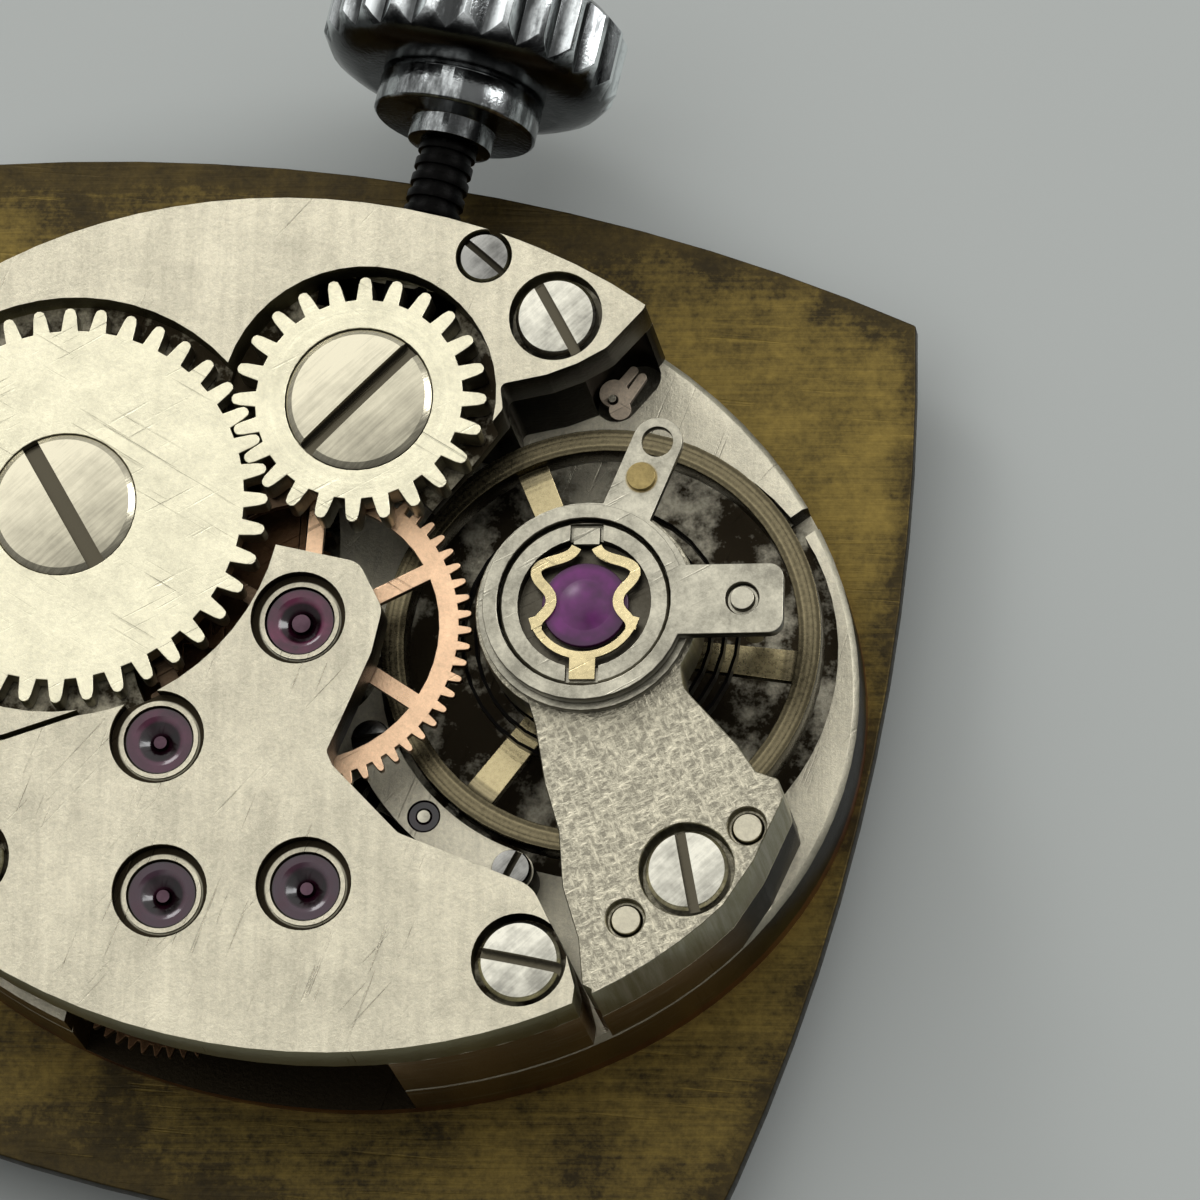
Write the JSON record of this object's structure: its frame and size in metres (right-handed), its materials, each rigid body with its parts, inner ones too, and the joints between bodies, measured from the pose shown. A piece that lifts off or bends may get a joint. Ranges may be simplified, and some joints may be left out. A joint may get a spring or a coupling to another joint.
{
  "type": "mechanical watch movement",
  "caption": "Hand-wound watch movement: cushion-shaped dial plate, oval plate and bridges, winding wheels, gear train, lever escapement, sprung balance, stem and crown.",
  "frame": {"origin": "on the axis of the hands, at the outer face of the dial", "axes": "+Z from the dial to the bridges, +Y along the winding stem towards the crown, +X along the long side of the oval plate"},
  "size_m": [0.0154, 0.0178, 0.0053],
  "materials": {
    "dial_brass": "satin",
    "plate_nickel": "satin",
    "bridge_nickel": "satin",
    "wheel_gold": "polished",
    "winding_nickel": "satin",
    "steel": "polished",
    "blued_dark_steel": "polished",
    "ruby": "polished",
    "gold_spring": "polished",
    "crown_steel": "polished",
    "balance_nickel": "satin"
  },
  "bodies": {
    "frame": {"dial_plate": "dial_brass", "main_plate": "plate_nickel", "barrel_bridge": "bridge_nickel", "train_bridge": "bridge_nickel", "balance_cock": "bridge_nickel", "pallet_cock": "bridge_nickel", "bridge_screws": "steel", "small_screws": "steel", "steady_pins": "wheel_gold", "bridge_jewels": "ruby", "small_jewels": "ruby", "shock_block": "steel", "shock_spring": "gold_spring", "cap_jewel": "ruby", "balance_hole_jewel": "ruby", "lower_shock_block": "steel", "click_spring": "steel", "click_screw": "steel", "crown_wheel_core": "steel", "crown_wheel_screw": "steel", "setting_lever_spring": "steel", "detent_plate": "steel"},
    "barrel": {"barrel_drum": "wheel_gold", "barrel_cover": "wheel_gold", "mainspring": "blued_dark_steel"},
    "ratchet": {"barrel_arbor": "steel", "ratchet_wheel": "winding_nickel", "ratchet_wheel_screw": "steel"},
    "crown_wheel": {"crown_wheel": "winding_nickel"},
    "winding": {"winding_pinion": "steel"},
    "stem": {"winding_stem": "steel", "crown": "crown_steel"},
    "clutch": {"sliding_pinion": "steel"},
    "centre": {"centre_wheel": "wheel_gold", "centre_pinion": "steel", "cannon_pinion": "steel"},
    "third": {"third_wheel": "wheel_gold", "third_pinion": "steel"},
    "fourth": {"fourth_wheel": "wheel_gold", "fourth_pinion": "steel"},
    "escape": {"escape_wheel": "steel", "escape_pinion": "steel"},
    "pallets": {"pallet_fork": "steel", "pallet_stones": "ruby", "pallet_arbor": "steel"},
    "balance": {"balance_wheel": "balance_nickel", "balance_staff": "steel", "roller": "steel", "impulse_jewel": "ruby", "hairspring": "blued_dark_steel", "hairspring_collet": "wheel_gold"},
    "stud_arm": {"stud_carrier": "steel", "hairspring_stud": "steel"},
    "regulator": {"regulator": "steel"},
    "minute": {"minute_wheel": "wheel_gold"},
    "hour": {"hour_wheel": "wheel_gold"},
    "setting": {"setting_wheel": "steel"},
    "click": {"click": "steel"},
    "setting_lever": {"setting_lever": "steel"},
    "yoke": {"yoke": "steel"}
  },
  "joints": [
    {"name": "fourth_turn", "type": "hinge", "parent": "frame", "child": "fourth", "pos_m": [-0.00096, -0.00419, 0.002], "axis": [0, 0, 1], "continuous": true},
    {"name": "barrel_turn", "type": "hinge", "parent": "frame", "child": "barrel", "pos_m": [-0.00369, 0.00101, 0.002], "axis": [0, 0, 1], "continuous": true},
    {"name": "centre_turn", "type": "hinge", "parent": "frame", "child": "centre", "pos_m": [0, 0, 0.002], "axis": [0, 0, 1], "continuous": true},
    {"name": "third_turn", "type": "hinge", "parent": "frame", "child": "third", "pos_m": [-0.00154, -0.00205, 0.002], "axis": [0, 0, 1], "continuous": true},
    {"name": "escape_turn", "type": "hinge", "parent": "frame", "child": "escape", "pos_m": [0.00099, -0.0037, 0.0015], "axis": [0, 0, 1], "continuous": true},
    {"name": "minute_turn", "type": "hinge", "parent": "frame", "child": "minute", "pos_m": [-0.00142, 0.00126, 0.0008], "axis": [0, 0, 1], "continuous": true},
    {"name": "hour_turn", "type": "hinge", "parent": "frame", "child": "hour", "pos_m": [0, 0, 0.0005], "axis": [0, 0, 1], "continuous": true},
    {"name": "setting_turn", "type": "hinge", "parent": "frame", "child": "setting", "pos_m": [0, 0.00275, 0.0009], "axis": [0, 0, 1], "continuous": true},
    {"name": "crown_turn", "type": "hinge", "parent": "frame", "child": "winding", "pos_m": [0, 0, 0.00195], "axis": [0, 1, 0], "continuous": true},
    {"name": "crown_pull", "type": "slide", "parent": "winding", "child": "stem", "axis": [0, 1, 0], "range_m": [0, 0.0005]},
    {"name": "clutch_slide", "type": "slide", "parent": "winding", "child": "clutch", "axis": [0, 1, 0], "range_m": [-0.0003, 0]},
    {"name": "crown_wheel_turn", "type": "hinge", "parent": "frame", "child": "crown_wheel", "pos_m": [0.00007, 0.00329, 0.0036], "axis": [0, 0, 1], "continuous": true},
    {"name": "ratchet_turn", "type": "hinge", "parent": "frame", "child": "ratchet", "pos_m": [-0.00369, 0.00101, 0.0036], "axis": [0, 0, 1], "continuous": true},
    {"name": "pallet_swing", "type": "hinge", "parent": "frame", "child": "pallets", "pos_m": [0.00205, -0.00205, 0.0015], "axis": [0, 0, 1], "range_deg": [-5, 5]},
    {"name": "balance_swing", "type": "hinge", "parent": "frame", "child": "balance", "pos_m": [0.00395, 0.00087, 0.0022], "axis": [0, 0, 1], "range_deg": [-270, 270], "stiffness_Nm_per_rad": 0.000000057, "deforming": ["hairspring"]},
    {"name": "regulator_turn", "type": "hinge", "parent": "frame", "child": "regulator", "pos_m": [0.00395, 0.00087, 0.004], "axis": [0, 0, 1], "range_deg": [-15, 15]},
    {"name": "stud_arm_turn", "type": "hinge", "parent": "frame", "child": "stud_arm", "pos_m": [0.00395, 0.00087, 0.0041], "axis": [0, 0, 1], "range_deg": [-5, 5]},
    {"name": "click_swing", "type": "hinge", "parent": "frame", "child": "click", "pos_m": [-0.00645, -0.00105, 0.0037], "axis": [0, 0, 1], "range_deg": [0, 5.5], "stiffness_Nm_per_rad": 0.00002},
    {"name": "setting_lever_swing", "type": "hinge", "parent": "frame", "child": "setting_lever", "pos_m": [0.00133, 0.00566, 0.0006], "axis": [0, 0, 1], "range_deg": [-25, 0]},
    {"name": "yoke_swing", "type": "hinge", "parent": "frame", "child": "yoke", "pos_m": [0.00235, 0.00435, 0.0006], "axis": [0, 0, 1], "range_deg": [0, 9.5]}
  ],
  "couplings": [
    {"joint": "escape_turn", "follows": "fourth_turn", "ratio": -10},
    {"joint": "third_turn", "follows": "fourth_turn", "ratio": -0.125},
    {"joint": "centre_turn", "follows": "fourth_turn", "ratio": 0.016667},
    {"joint": "barrel_turn", "follows": "fourth_turn", "ratio": -0.0022523},
    {"joint": "minute_turn", "follows": "fourth_turn", "ratio": -0.0055556},
    {"joint": "hour_turn", "follows": "fourth_turn", "ratio": 0.0013889},
    {"joint": "setting_turn", "follows": "fourth_turn", "ratio": 0.0125},
    {"joint": "crown_wheel_turn", "follows": "crown_turn", "ratio": -0.83333},
    {"joint": "ratchet_turn", "follows": "crown_turn", "ratio": 0.5},
    {"joint": "clutch_slide", "follows": "crown_pull", "ratio": -0.58},
    {"joint": "setting_lever_swing", "follows": "crown_pull", "rad_per_m": -841},
    {"joint": "yoke_swing", "follows": "crown_pull", "rad_per_m": 324}
  ]
}
